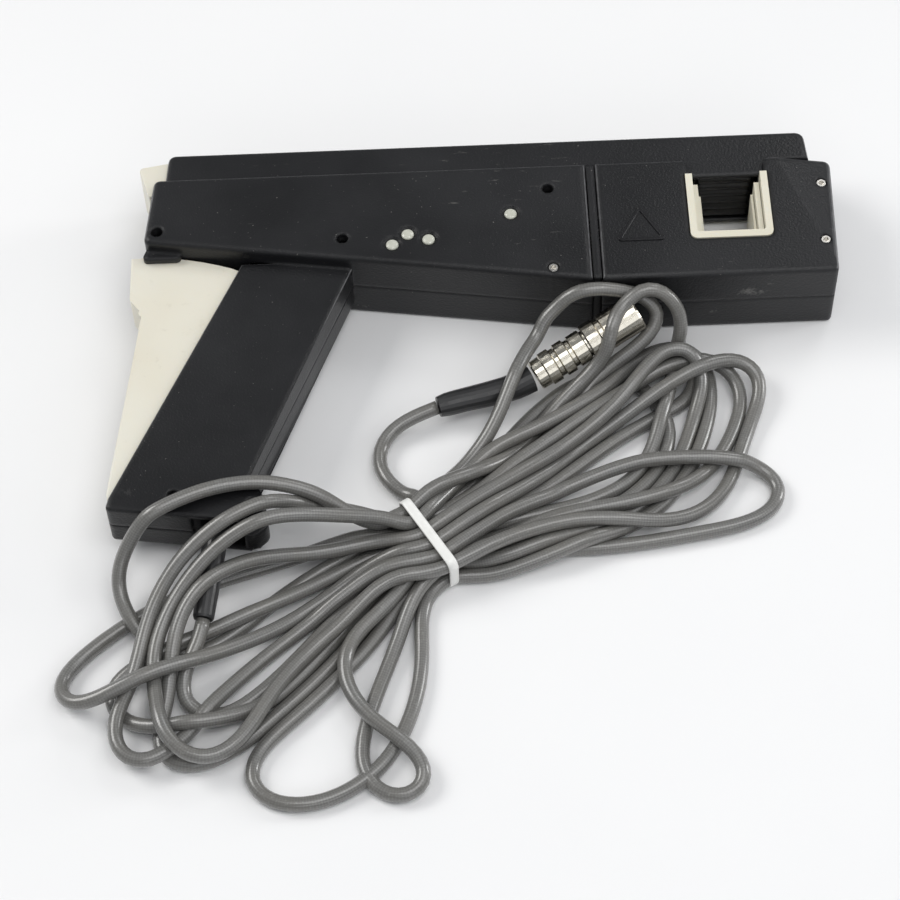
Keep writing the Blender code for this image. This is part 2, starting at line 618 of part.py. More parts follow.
def make_carriage(materials):
    """Press head carriage in the rail, its leg down to the cam, and the ridged heater plate."""
    origin = (108.2, 77.0, MID)
    head = prism("press_carriage", rectangle(94.3, 70.3, 122.1, 84.0), -14.2, 14.2, materials["dark_steel"],
                 origin=origin)
    bar = prism("carriage_bar", rectangle(55.6, 76.0, 100.0, 84.0), -7.0, 7.0)
    leg = prism("carriage_leg", rounded([
        (56.4, 51.4, 2.0), (63.6, 51.4, 2.0), (63.6, 78.0, 0.0), (56.4, 78.0, 0.0),
    ]), 3.0, 6.0)
    unite(head, bar, leg)
    cut(head, rod_up("pin_hole", *CAM_PIN, 2.0, 8.0, CAM_PIN_RADIUS + 0.2, sides=16))
    ridge = []
    count = 6
    pitch = 27.0 / count
    for step in range(count):
        z = MID - 13.5 + pitch * step
        ridge += [
            (68.0, z), (68.0, z + 0.8), (67.0, z + 1.4), (67.0, z + pitch - 0.8), (68.0, z + pitch - 0.2),
        ]
    outline = [(70.0, MID - 13.5)] + ridge + [(68.0, MID + 13.5), (70.0, MID + 13.5)]
    slab_along_x("heater_plate", outline, 96.8, 119.6, materials["dark_steel"])


def make_wiring(materials):
    """Terminal block, cable clamp and the lead between them inside the handle."""
    prism("terminal_block", rectangle(-98.5, -36.5, -86.5, -16.0), -7.0, 7.0, materials["amber"])
    clamp = prism("cable_clamp", rectangle(-110.0, -71.5, -98.4, -65.5, 1.5), -6.5, 6.5, materials["steel"])
    route = [(-109.2, -80.4, MID), (-107.8, -76.2, MID), (-104.8, -68.5, MID), (-100.5, -58.0, MID),
             (-96.5, -49.0, MID), (-93.6, -38.0, MID)]
    bore = swept_shape(smooth_route(route, 24), [CORD_RADIUS + GAP] * 24, 16)
    cut(clamp, finish_mesh("clamp_bore", bore, None))
    make_tube("inner_lead", route, materials["grey"])


def smooth_route(points, count):
    """Evenly stepped points on a smooth curve through the route's own points."""
    knots = [Vector(point) for point in points]
    dense = []
    per_span = 24
    for index in range(len(knots) - 1):
        p1 = knots[index]
        p2 = knots[index + 1]
        p0 = knots[index - 1] if index else p1 * 2 - p2
        p3 = knots[index + 2] if index + 2 < len(knots) else p2 * 2 - p1
        for step in range(per_span):
            t = step / per_span
            dense.append(0.5 * (2 * p1 + (p2 - p0) * t + (2 * p0 - 5 * p1 + 4 * p2 - p3) * t * t
                                + (3 * p1 - p0 - 3 * p2 + p3) * t * t * t))
    dense.append(knots[-1])
    lengths = [0.0]
    for before, after in zip(dense, dense[1:]):
        lengths.append(lengths[-1] + (after - before).length)
    result = []
    index = 0
    for step in range(count):
        wanted = lengths[-1] * step / (count - 1)
        while index < len(lengths) - 2 and lengths[index + 1] < wanted:
            index += 1
        share = (wanted - lengths[index]) / (lengths[index + 1] - lengths[index])
        result.append(dense[index].lerp(dense[index + 1], min(1.0, share)))
    return result


def make_tube(name, route, material):
    """Round cord along a route, as a bevelled curve with filled caps."""
    spacing = CORD_RADIUS * 4
    length = sum((Vector(b) - Vector(a)).length for a, b in zip(route, route[1:]))
    points = smooth_route(route, max(4, round(length / spacing) + 1))
    curve = bpy.data.curves.new(name, "CURVE")
    curve.dimensions = "3D"
    spline = curve.splines.new("POLY")
    spline.points.add(len(points) - 1)
    for knot, point in zip(spline.points, points):
        knot.co = (*((point - Vector(ORIGIN)) * MM), 1.0)
    curve.bevel_depth = CORD_RADIUS * MM
    curve.bevel_resolution = 3
    curve.use_fill_caps = True
    curve.materials.append(material)
    obj = bpy.data.objects.new(name, curve)
    bpy.context.scene.collection.objects.link(obj)
    return obj


def make_strain_relief(materials):
    """Tapered boot held in the handle's lower end by a flange."""
    length = (Vector(BOOT_END) - Vector(BOOT_START)).length
    profile = (
        (-5.4, 5.4), (0.0, 5.4), (0.1, 5.2), (6.0, 5.2), (12.0, 5.1), (length * 0.7, 4.7),
        (length - 1.0, 4.3),
        (length, 3.9),
    )
    turned("strain_relief_boot", BOOT_START, BOOT_END, profile, materials["rubber"])


def make_screws(materials):
    for name, x, y, seat, head, dark in SCREWS:
        top = seat + SCREW_HEAD
        tip = -11.0 if seat > 8.0 else -7.0
        profile = (
            (0.0, SHANK_RADIUS), (seat + GAP - tip, SHANK_RADIUS), (seat + GAP - tip, head),
            (top - 0.3 - tip, head), (top - tip, head - 0.3),
        )
        screw = turned(name, (x, y, MID + tip), (x, y, MID + top), profile,
                       materials["dark_steel" if dark else "steel"], 20)
        cut(screw, rod_up("hex_" + name, x, y, top - 1.4, top + 1.0, 1.25, sides=6))


def make_cord(materials):
    """Free cord: lead out of the boot, tied hank and the tail into the plug."""
    make_tube("cord_lead", LEAD_ROUTE, materials["grey"])
    make_tube("cord_tail", TAIL_ROUTE, materials["grey"])
    turn = Matrix.Rotation(math.radians(HANK_ANGLE), 2)
    centre = Vector(HANK_CENTRE)
    outline = [centre + turn @ point for point in rounded(HANK_OUTLINE)]
    prism("cord_hank", outline, HANK_LOW - MID, HANK_HIGH - MID, materials["grey"], round_top=5.0,
          round_low=1.2, segments=2)
    make_tie(turn, centre, materials)


def make_tie(turn, centre, materials):
    """Flat strap around the hank's waist."""
    half = 20.5
    thick = 0.9
    loops = []
    for grow in (thick, 0.0):
        loops.append(rounded([
            (-half - grow, HANK_LOW - GAP - grow, 0.8), (half + grow, HANK_LOW - GAP - grow, 0.8),
            (half + grow, HANK_HIGH + GAP + grow, 0.8), (-half - grow, HANK_HIGH + GAP + grow, 0.8),
        ]))
    shape = bmesh.new()
    rings = []
    for along in (-TIE_WIDTH / 2, TIE_WIDTH / 2):
        for loop in loops:
            ring = []
            for across, z in loop:
                place = centre + turn @ Vector((along, across))
                ring.append(shape.verts.new((place.x, place.y, z)))
            rings.append(ring)
    outer_low, inner_low, outer_high, inner_high = rings
    count = len(outer_low)
    for index in range(count):
        after = (index + 1) % count
        shape.faces.new((outer_low[index], outer_low[after], outer_high[after], outer_high[index]))
        shape.faces.new((inner_low[after], inner_low[index], inner_high[index], inner_high[after]))
        shape.faces.new((outer_low[after], outer_low[index], inner_low[index], inner_low[after]))
        shape.faces.new((outer_high[index], outer_high[after], inner_high[after], inner_high[index]))
    finish_mesh("hank_tie", shape, materials["white"])


def make_plug(materials):
    """Circular connector with a bent rubber boot, a knurled body, a turning ring and a pin insert."""
    radii = [4.4, 5.0, 5.1, 5.1, 5.2, 5.3, 5.4, 5.5, 5.6, 5.7, 5.8, 5.8]
    boot = swept_shape(smooth_route(PLUG_BOOT_ROUTE, len(radii)), radii, 20)
    finish_mesh("plug_boot", boot, materials["rubber"], smooth_degrees=50.0)
    start = Vector(PLUG_START)
    end = Vector(PLUG_END)
    length = (end - start).length
    body = (
        (1.3, 6.0), (2.0, 6.6), (6.0, 6.6), (6.6, 7.4), (11.0, 7.4), (11.6, 6.4), (13.2, 6.4), (13.8, 7.4),
        (18.0, 7.4), (18.6, 6.2), (20.0, 6.2), (20.6, 7.2), (26.0, 7.2), (26.5, 6.0), (length - 2.2, 6.0),
    )
    shell = turned("plug_shell", start, end, body, materials["chrome"], 28)
    mouth = turned("plug_mouth", start, end, ((28.0, 5.2), (length + 2.0, 5.2)), None, 28)
    cut(shell, mouth)
    ring_profile = (
        (27.2, 7.6), (27.8, 8.1), (33.0, 8.1), (33.6, 7.3), (35.4, 7.3), (36.0, 8.1), (length - 0.8, 8.1),
        (length, 7.4),
    )
    ring = turned("plug_ring", start, end, ring_profile, materials["chrome"], 28, origin=tuple(start))
    cut(ring, turned("ring_bore", start, end, ((20.0, 6.3), (length + 5.0, 6.3)), None, 28))
    face = length - 1.6
    insert = turned("plug_insert", start, end, ((28.3, 4.9), (face, 4.9)), materials["rubber"], 20)
    across = (end - start).normalized().orthogonal().normalized()
    along = (end - start).normalized()
    for index in range(5):
        arm = across.copy()
        arm.rotate(Matrix.Rotation(2 * math.pi * index / 5, 3, along))
        foot = start + along * (face - 3.0) + arm * 2.9
        cut(insert, turned(f"contact_hole_{index}", foot, foot + along, ((0.0, 0.7), (6.0, 0.7)), None, 10))


def main():
    clear_scene()
    materials = make_materials()
    make_shells(materials)
    make_seam_band(materials)
    make_rail(materials)
    make_release_tab(materials)
    make_slot_liner(materials)
    make_lamps(materials)
    make_board(materials)
    make_switch(materials)
    make_lever(materials)
    make_lever_spring(materials)
    make_push_rod(materials)
    make_rod_guides(materials)
    make_carriage(materials)
    make_wiring(materials)
    make_strain_relief(materials)
    make_screws(materials)
    make_cord(materials)
    make_plug(materials)


main()
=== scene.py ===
"""Looks of a hand-held price labeling gun: the cord in its tied hank, materials, wear, lights and camera."""

import math

import bpy
import numpy as np
from mathutils import Matrix, Vector


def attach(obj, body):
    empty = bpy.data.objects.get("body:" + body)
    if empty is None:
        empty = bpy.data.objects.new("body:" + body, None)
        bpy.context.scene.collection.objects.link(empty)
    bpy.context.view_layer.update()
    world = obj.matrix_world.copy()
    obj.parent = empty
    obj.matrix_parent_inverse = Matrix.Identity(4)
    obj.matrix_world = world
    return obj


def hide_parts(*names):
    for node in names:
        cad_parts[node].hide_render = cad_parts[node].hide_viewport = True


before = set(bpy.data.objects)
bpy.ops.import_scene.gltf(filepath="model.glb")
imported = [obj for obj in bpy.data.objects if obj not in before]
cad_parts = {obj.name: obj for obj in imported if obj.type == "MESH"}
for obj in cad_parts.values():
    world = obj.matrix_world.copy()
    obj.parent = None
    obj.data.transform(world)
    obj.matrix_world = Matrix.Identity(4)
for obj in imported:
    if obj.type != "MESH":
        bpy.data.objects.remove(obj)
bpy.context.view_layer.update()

# The routes below are in millimetres, from the same origin as the part's own drawing.
MM = 0.001
DRAWING_ORIGIN = np.array((-0.226, -3.661, 0.0))

# ---------------------------------------------------------------- camera
LENS = 108.0
SENSOR = 36.0
CLIP_START = 0.05
CAMERA_ELEVATION = math.radians(57.0)
CAMERA_ROLL = math.radians(2.2)
CAMERA_DISTANCE = 1.134
CAMERA_AIM = Vector((-0.0148, -0.0428, 0.0))


def make_camera():
    data = bpy.data.cameras.new("camera")
    data.lens = LENS
    data.sensor_width = SENSOR
    data.clip_start = CLIP_START
    camera = bpy.data.objects.new("camera", data)
    bpy.context.scene.collection.objects.link(camera)
    back = Vector((0.0, -math.cos(CAMERA_ELEVATION), math.sin(CAMERA_ELEVATION)))
    level = Vector((1.0, 0.0, 0.0))
    rise = back.cross(level)
    right = level * math.cos(CAMERA_ROLL) - rise * math.sin(CAMERA_ROLL)
    up = level * math.sin(CAMERA_ROLL) + rise * math.cos(CAMERA_ROLL)
    turn = Matrix((right, up, back)).transposed().to_4x4()
    camera.matrix_world = Matrix.Translation(CAMERA_AIM + back * CAMERA_DISTANCE) @ turn
    bpy.context.scene.camera = camera


# ---------------------------------------------------------------- cord
CORD_DIAMETER = 6.0
SIDES = 14
STEP = 3.5
FLOOR_GAP = 0.05

# The tie holds the runs in rows of slots: T on top, M in the middle, B at the bottom.
TIE_CENTRE = np.array((-25.0, -97.0))
TIE_ANGLE = math.radians(31.0)
TIE_HALF_HOLD = 4.0
SLOT_PITCH = 6.15
ROW_HEIGHTS = {"B": 4.1, "M": 9.4, "T": 14.7}
ROW_SLOTS = {"B": 6, "M": 5, "T": 6}

# The part's own routes where the cord leaves the handle and where it enters the plug.
LEAD_ROUTE = (
    (-116.05, -131.1, 12.95), (-117.0, -137.0, 11.8), (-119.2, -143.0, 10.6), (-122.6, -149.0, 9.8),
)
TAIL_ROUTE = (
    (-31.0, -71.5, 8.0), (-40.0, -65.5, 6.2), (-44.5, -55.0, 4.0), (-42.0, -43.0, 4.6),
    (-33.0, -35.5, 6.6), (-19.6, -30.6, 8.9),
)
LEAD_TURN = (
    (-125, -157), (-123, -166), (-114, -172), (-101, -170), (-87, -160), (-70, -144), (-54, -126),
    (-41, -111),
)

# The folds in their order along the cord. Each has its slot in the tie, its height before and after
# its far end as it is laid, its plan, and the next fold's slot. A plan point has a height too where
# the cord rests on the plug or leans on the body.
FOLDS = (
    ("B2", 10, 20, (
        (0, -76), (22, -52), (42, -32), (60, -17), (76, -10), (87, -18), (82, -31), (66, -39),
        (45, -52), (22, -68), (1, -81),
    ), "M1"),
    ("M1", 30, 72, (
        (-46, -91), (-70, -97), (-95, -104), (-118, -112), (-138, -123), (-151, -131), (-163, -141),
        (-173, -153), (-168, -163), (-156, -162), (-140, -154), (-117, -146), (-100, -138), (-84, -130),
        (-64, -118), (-45, -107),
    ), "T3"),
    ("T3", 84, 56, (
        (0, -82), (22, -63), (40, -48), (58, -35), (73, -24), (87, -15), (100, -9), (111, -12),
        (114, -24), (109, -38), (105, -53), (100, -68), (91, -81), (77, -89), (60, -91), (40, -90),
        (20, -93), (2, -99),
    ), "T5"),
    ("T5", 84, 56, (
        (-42, -116), (-59, -131), (-72, -142), (-84, -154), (-93, -167), (-101, -181), (-110, -191),
        (-122, -190), (-130, -179), (-132, -167), (-134, -155), (-134, -143), (-129, -129),
        (-120, -116), (-108, -105), (-94, -98), (-78, -94), (-58, -91), (-42, -88),
    ), "T1"),
    ("T1", 63, 24, (
        (-6, -71), (8, -57), (22, -41), (34, -26), (46, -12), (56, -3), (67, 3), (79, 2), (87, -7),
        (89, -19), (87, -33), (83, -49), (75, -65), (62, -80), (42, -90), (20, -97), (1, -104),
    ), "B5"),
    ("B5", 7, 12, (
        (-29, -121), (-30, -138), (-32, -160), (-37, -177), (-44, -191), (-54, -201), (-67, -207),
        (-82, -208), (-94, -203), (-100, -193), (-96, -180), (-84, -166), (-67, -148), (-51, -130),
        (-40, -114),
    ), "B4"),
    ("B4", 30, 70, (
        (2, -100), (22, -94), (45, -87), (66, -79), (81, -67), (90, -51), (96, -34), (97, -19),
        (88, -7), (75, -9), (63, -22), (49, -36), (32, -50), (14, -64), (-4, -78),
    ), "T2"),
    ("T2", 60, 24, (
        (-43, -94), (-68, -99), (-94, -104), (-109, -111), (-121, -123), (-126, -137), (-127, -150),
        (-128, -163), (-132, -176), (-129, -188), (-118, -192), (-104, -187), (-90, -177), (-75, -162),
        (-60, -145), (-46, -125), (-37, -112),
    ), "B3"),
    ("B3", 42, 56, (
        (1, -93), (25, -88), (50, -84), (72, -77), (88, -67), (98, -55), (106, -40), (109, -26),
        (102, -15), (90, -12), (74, -20), (55, -31), (34, -45), (12, -59), (-8, -74),
    ), "M0"),
    ("M0", 52, 78, (
        (-45, -84), (-60, -84), (-79, -86), (-94, -92), (-110, -100), (-124, -111), (-133, -124),
        (-138, -138), (-141, -152), (-145, -163), (-149, -175), (-145, -187), (-133, -189),
        (-118, -174), (-103, -158), (-89, -145), (-74, -134), (-59, -123), (-41, -110),
    ), "T4"),
    ("T4", 91, 14, (
        (0, -88), (20, -77), (37, -69), (52, -64), (66, -61), (84, -61), (100, -62), (111, -64),
        (119, -72), (116, -84), (102, -89), (85, -92), (64, -95), (36, -98), (10, -101),
    ), "M3"),
    ("M3", 35, 28, (
        (-40, -122), (-53, -135), (-60, -146), (-60, -158), (-54, -170), (-44, -181), (-33, -189),
        (-29, -200), (-40, -207), (-52, -199), (-52, -183), (-48, -167), (-42, -150), (-36, -134),
        (-31, -119),
    ), "M4"),
    ("M4", 35, 28, (
        (2, -99), (24, -91), (46, -83), (62, -72), (72, -57), (77, -40), (74, -26), (63, -19),
        (50, -22), (38, -31), (25, -44), (10, -58), (-7, -71),
    ), "B0"),
    ("B0", 10, 84, (
        (-48, -95), (-70, -110), (-92, -126), (-112, -140), (-129, -143), (-142, -134), (-149, -121),
        (-150, -108), (-143, -98), (-133, -92), (-121, -87), (-108, -83), (-94, -82), (-78, -84),
        (-60, -89), (-46, -90),
    ), "T0"),
    ("T0", 77, 49, (
        (-6, -67), (10, -54), (23, -39), (36, -25), (48, -12), (57, -1, 32.5), (67, 6.3, 36.3),
        (77, 6.5, 34.3), (84.5, -0.5, 28), (87, -14), (84, -29), (80, -45), (73, -60), (60, -72),
        (40, -81), (18, -87), (0, -92),
    ), "M2"),
    ("M2", 66, 17, (
        (-45, -111), (-63, -128), (-79, -148), (-94, -162), (-109, -169), (-125, -172), (-139, -172),
        (-151, -164), (-151, -151), (-137, -143), (-116, -133), (-95, -122), (-72, -107), (-48, -94),
    ), "B1"),
)
LAST_FOLD = ("B1", 20, 77, (
    (-8, -75), (6, -63), (22, -49), (37, -35), (53, -22), (67, -12), (75, -3), (74, 4.5, 25),
    (69.5, 8.2, 28.5), (60, 9, 32), (49, 9, 34.5), (38, 8, 33), (29, 3.2, 27.5), (21, -7), (13.5, -21),
    (6, -38), (-3, -52), (-12, -63), (-21, -69),
))

# What the cord lies on and against: the handle, the underside of the body, the boots and the plug.
HANDLE_TOP = 31.0
HANDLE_BOTTOM_EDGE = ((-155.0, -88.6), (-95.3, -96.6))
HANDLE_FRONT_EDGE = ((-88.8, -96.6), (-88.8, -80.0))
BODY_UNDERSIDE = ((-142.3, 40.2), (48.0, 12.0))
# Boot and plug as tapered runs: start, end, and thickness at each end.
SOLID_RUNS = (
    ((-109.9, -86.5, 19.0), (-116.0, -130.8, 13.0), 5.9, 3.4),
    ((-19.2, -30.45, 8.95), (20.6, -18.8, 10.4), 4.6, 5.9),
    ((21.0, -18.6, 10.6), (66.0, 2.9, 25.5), 6.2, 6.2),
)
HANDLE_BACK = -165.0
HANDLE_EDGE_BAND = 4.0

# How the laid cord settles: it falls, then sinks slowly, with these gaps, limits and softnesses.
FALL_STEPS = 260
FALL = 0.3
REST_STEPS = 360
SINK = 0.1
PUSHES_PER_STEP = 3
PAIR_STEPS = 8
PAIR_REACH = 1.5
PAIR_SKIP = 2.5
PAIR_BLOCK = 400
PAIR_GAP = 0.05
SOLID_GAP = 0.1
GUN_GAP = 0.2
MOST_PUSH = 1.2
MOST_SOLID_PUSH = 1.5
HOME_PULL = 0.99
STIFFNESS = 40.0
PLAN_SOFTNESS = 5.0
PLAN_PASSES = 3
LAST_SOFTNESS = 3.0
EASE_SPARE = 60

# The curve through the laid points, and where along a fold its height changes over.
CURVE_PARTS = 10
CHANGE_FROM = 0.4
CHANGE_SPAN = 0.2
SLOT_RISE_POINTS = 3


def slot_place(name, along):
    """Where a run lies in its slot of the tie, at a distance along it from the tie's middle."""
    row = name[0]
    across = ((ROW_SLOTS[row] - 1) / 2 - int(name[1])) * SLOT_PITCH
    run = np.array((math.cos(TIE_ANGLE), math.sin(TIE_ANGLE)))
    side = np.array((-run[1], run[0]))
    return np.append(TIE_CENTRE + run * along + side * across, ROW_HEIGHTS[row])


def fold_points(start, first, second, plan, end):
    """The fold's points, each with whether it is held: one with its own height rests on the plug or body."""
    count = len(plan)
    points = []
    for index, (x, y, *rest) in enumerate(plan):
        share = (index + 0.5) / count
        turned = min(1.0, max(0.0, (share - CHANGE_FROM) / CHANGE_SPAN))
        height = first + (second - first) * turned
        start_row = ROW_HEIGHTS[start[0]]
        end_row = ROW_HEIGHTS[end[0]] if end else height
        near_start = max(0.0, 1.0 - (index + 1) / SLOT_RISE_POINTS)
        near_end = max(0.0, 1.0 - (count - index) / SLOT_RISE_POINTS)
        height += (start_row - height) * near_start + (end_row - height) * near_end
        points.append(((x, y, rest[0] if rest else height), bool(rest)))
    return points


def cord_outline():
    """Every point of the laid cord, and which of them the tie, the handle or the plug holds."""
    points = [(point, True) for point in LEAD_ROUTE]
    points += [((x, y, CORD_DIAMETER / 2), False) for x, y in LEAD_TURN]
    for start, first, second, plan, end in FOLDS + (LAST_FOLD + (None,),):
        side = -1 if plan[0][0] > TIE_CENTRE[0] else 1
        points += [(tuple(slot_place(start, side * TIE_HALF_HOLD)), True)]
        points += [(tuple(slot_place(start, -side * TIE_HALF_HOLD)), True)]
        points += fold_points(start, first, second, plan, end)
    points += [(point, True) for point in TAIL_ROUTE]
    return points


def smooth_curve(points):
    """A dense curve through the points."""
    ends = [2 * points[0] - points[1]] + list(points) + [2 * points[-1] - points[-2]]
    dense = []
    for before, here, there, after in zip(ends, ends[1:], ends[2:], ends[3:]):
        for share in np.arange(0.0, 1.0, 1.0 / CURVE_PARTS):
            dense.append(0.5 * (2 * here + (there - before) * share
                                + (2 * before - 5 * here + 4 * there - after) * share ** 2
                                + (3 * here - before - 3 * there + after) * share ** 3))
    dense.append(points[-1])
    return np.array(dense)


def spaced(curve, step, *others):
    """The curve again at an even spacing, with the other columns carried along."""
    lengths = np.concatenate([[0.0], np.cumsum(np.linalg.norm(np.diff(curve, axis=0), axis=1))])
    count = int(round(lengths[-1] / step)) + 1
    places = np.linspace(0.0, lengths[-1], count)
    columns = [np.interp(places, lengths, curve[:, axis]) for axis in range(3)]
    return np.stack(columns, axis=1), [np.interp(places, lengths, other) for other in others]


def straightened(values, stiffness):
    """Evenly spaced values eased straight, as a springy cord would ease them, with both ends kept."""
    spare = min(EASE_SPARE, len(values) - 2)
    before = 2 * values[0] - values[spare:0:-1]
    after = 2 * values[-1] - values[-2:-spare - 2:-1]
    long = np.concatenate([before, values, after])
    share = np.linspace(0.0, 1.0, len(long))[:, None]
    line = long[0] + (long[-1] - long[0]) * share
    turns = 2 * math.pi * np.fft.rfftfreq(len(long))
    keep = 1.0 / (1.0 + stiffness * (2.0 - 2.0 * np.cos(turns)) ** 2)
    eased = np.fft.irfft(np.fft.rfft(long - line, axis=0) * keep[:, None], len(long), axis=0) + line
    return eased[spare:spare + len(values)]


def close_pairs(path, reach, skip):
    """Index pairs of points that are near each other but not along the cord."""
    first = []
    second = []
    for start in range(0, len(path), PAIR_BLOCK):
        part = path[start:start + PAIR_BLOCK]
        gaps = ((part[:, None, :] - path[None, :, :]) ** 2).sum(axis=2)
        rows, columns = np.nonzero(gaps < reach * reach)
        keep = columns > rows + start + skip
        first.append(rows[keep] + start)
        second.append(columns[keep])
    return np.concatenate(first), np.concatenate(second)


def push_apart(path, first, second, free):
    """Moves the runs that overlap away from each other, each by half of the overlap."""
    gaps = path[first] - path[second]
    lengths = np.linalg.norm(gaps, axis=1) + 1e-6
    short = CORD_DIAMETER + PAIR_GAP - lengths
    close = short > 0
    moves = gaps[close] * (short[close] / lengths[close] * 0.5)[:, None]
    ends = np.concatenate([first[close], second[close]])
    moves = np.concatenate([moves, -moves])
    total = np.stack([np.bincount(ends, moves[:, axis], len(path)) for axis in range(3)], axis=1)
    size = np.linalg.norm(total, axis=1) + 1e-9
    path += total * (np.minimum(1.0, MOST_PUSH / size) * free)[:, None]


def push_off_solids(path, free):
    """Keeps the cord outside the straight solids that it lies over or beside."""
    for low, high, thick, thin in SOLID_RUNS:
        low = np.array(low)
        axis = np.array(high) - low
        share = np.clip(((path - low) @ axis) / (axis @ axis), 0.0, 1.0)
        nearest = low + share[:, None] * axis
        gaps = path - nearest
        lengths = np.linalg.norm(gaps, axis=1) + 1e-6
        need = thick + (thin - thick) * share + CORD_DIAMETER / 2 + SOLID_GAP
        short = np.clip(need - lengths, 0.0, MOST_SOLID_PUSH) * free
        path += gaps / lengths[:, None] * short[:, None]


def edge_depth(path, edge, inside):
    """How far the points are inside the line through an edge, on the side of the point given."""
    start = np.array(edge[0])
    along = np.array(edge[1]) - start
    normal = np.array((-along[1], along[0])) / np.linalg.norm(along)
    if (np.array(inside) - start) @ normal < 0:
        normal = -normal
    return (path[:, :2] - start) @ normal, normal


def push_off_gun(path, free):
    """Keeps the cord on top of or beside the handle, and short of the body's underside."""
    reach = CORD_DIAMETER / 2 + GUN_GAP
    under, up = edge_depth(path, HANDLE_BOTTOM_EDGE, (-120.0, 0.0))
    front, back = edge_depth(path, HANDLE_FRONT_EDGE, (-120.0, -90.0))
    depth = np.minimum(under, front) + reach
    inside = (depth > 0) & (path[:, 0] > HANDLE_BACK) & (path[:, 1] < 0.0) & (free > 0)
    on_top = inside & (path[:, 2] > HANDLE_TOP - HANDLE_EDGE_BAND)
    path[on_top, 2] = np.maximum(path[on_top, 2], HANDLE_TOP + reach)
    beside = inside & ~on_top
    move = np.where((under < front)[:, None], up[None, :], back[None, :]) * depth[:, None]
    path[beside, :2] -= move[beside]
    slope = (BODY_UNDERSIDE[1][1] - BODY_UNDERSIDE[0][1]) / (BODY_UNDERSIDE[1][0] - BODY_UNDERSIDE[0][0])
    along = np.minimum(path[:, 0] - BODY_UNDERSIDE[1][0], 0.0)
    lowest = BODY_UNDERSIDE[1][1] + along * slope
    over = (path[:, 1] > lowest - reach) & (free > 0)
    path[over, 1] = (lowest - reach)[over]


def settle(path, free):
    """Lets the laid cord sink under its own weight until its runs rest on what is below them."""
    home = path.copy()
    floor = CORD_DIAMETER / 2 + FLOOR_GAP
    skip = int(PAIR_SKIP * CORD_DIAMETER / STEP)
    for step in range(FALL_STEPS + REST_STEPS):
        if step % PAIR_STEPS == 0:
            first, second = close_pairs(path, CORD_DIAMETER * PAIR_REACH, skip)
        path[:, 2] -= (FALL if step < FALL_STEPS else SINK) * free
        shifted = path - home * (1.0, 1.0, 0.0)
        shifted = straightened(shifted, STIFFNESS)
        path = home * (1.0, 1.0, 0.0) + shifted * (HOME_PULL, HOME_PULL, 1.0)
        for _ in range(PUSHES_PER_STEP):
            push_apart(path, first, second, free)
            push_off_solids(path, free)
            path[:, 2] = np.maximum(path[:, 2], floor)
        push_off_gun(path, free)
        path[free == 0] = home[free == 0]
    return path


def cord_path():
    """The settled cord's centreline, in metres."""
    outline = cord_outline()
    dense = smooth_curve([np.array(point) for point, _ in outline])
    held = np.repeat([float(flag) for _, flag in outline], CURVE_PARTS)[:len(dense)]
    held = np.minimum(held, np.roll(held, -CURVE_PARTS))
    held[-CURVE_PARTS:] = 1.0
    path, (held,) = spaced(dense, STEP, held)
    free = (held < 0.5).astype(float)
    pinned = path.copy()
    for _ in range(PLAN_PASSES):
        path = straightened(path, PLAN_SOFTNESS)
        path[free == 0] = pinned[free == 0]
    path = straightened(settle(path, free), LAST_SOFTNESS)
    return (path - DRAWING_ORIGIN) * MM


def tube_mesh(name, path, radius):
    """A round tube along the path, with its turn about and distance along the cord kept for its braid."""
    steps = np.gradient(path, axis=0)
    steps /= np.linalg.norm(steps, axis=1, keepdims=True)
    side = np.cross(steps[0], (0.0, 0.0, 1.0))
    side /= np.linalg.norm(side)
    angles = np.linspace(0.0, 2 * math.pi, SIDES, endpoint=False)
    rings = []
    for point, step in zip(path, steps):
        side = side - step * (side @ step)
        side /= np.linalg.norm(side)
        over = np.cross(step, side)
        rings.append(point + radius * (np.outer(np.cos(angles), side) + np.outer(np.sin(angles), over)))
    count = len(path)
    faces = []
    for ring in range(count - 1):
        for turn in range(SIDES):
            after = (turn + 1) % SIDES
            low = ring * SIDES
            faces.append((low + turn, low + after, low + SIDES + after, low + SIDES + turn))
    faces.append(tuple(range(SIDES))[::-1])
    faces.append(tuple((count - 1) * SIDES + turn for turn in range(SIDES)))
    mesh = bpy.data.meshes.new(name)
    mesh.from_pydata(np.concatenate(rings).tolist(), [], faces)
    mesh.shade_smooth()
    lengths = np.concatenate([[0.0], np.cumsum(np.linalg.norm(np.diff(path, axis=0), axis=1))])
    braid = np.empty((count, SIDES, 3))
    braid[:, :, 0] = np.cos(angles)
    braid[:, :, 1] = np.sin(angles)
    braid[:, :, 2] = lengths[:, None]
    layer = mesh.attributes.new("braid", "FLOAT_VECTOR", "POINT")
    layer.data.foreach_set("vector", braid.ravel())
    return mesh


def add_object(name, mesh, material):
    obj = bpy.data.objects.new(name, mesh)
    obj.data.materials.append(material)
    bpy.context.scene.collection.objects.link(obj)
    return obj


def make_cord(material):
    path = cord_path()
    cord = add_object("cord", tube_mesh("cord", path, CORD_DIAMETER / 2 * MM), material)
    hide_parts("cord_lead", "cord_hank", "cord_tail")
    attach(cord, "housing")
    length = float(np.linalg.norm(np.diff(path, axis=0), axis=1).sum())
    print("cord length in metres:", round(length, 3))
    return cord


# ---------------------------------------------------------------- tie
TIE_GAP = 0.25
TIE_THICKNESS = 0.9
TIE_WIDTH = 4.2
TIE_SAMPLES = 96
TIE_FLAT_SHARE = 0.42
TIE_SIDE_SHARE = 0.6
TIE_FLOOR_GAP = 0.1


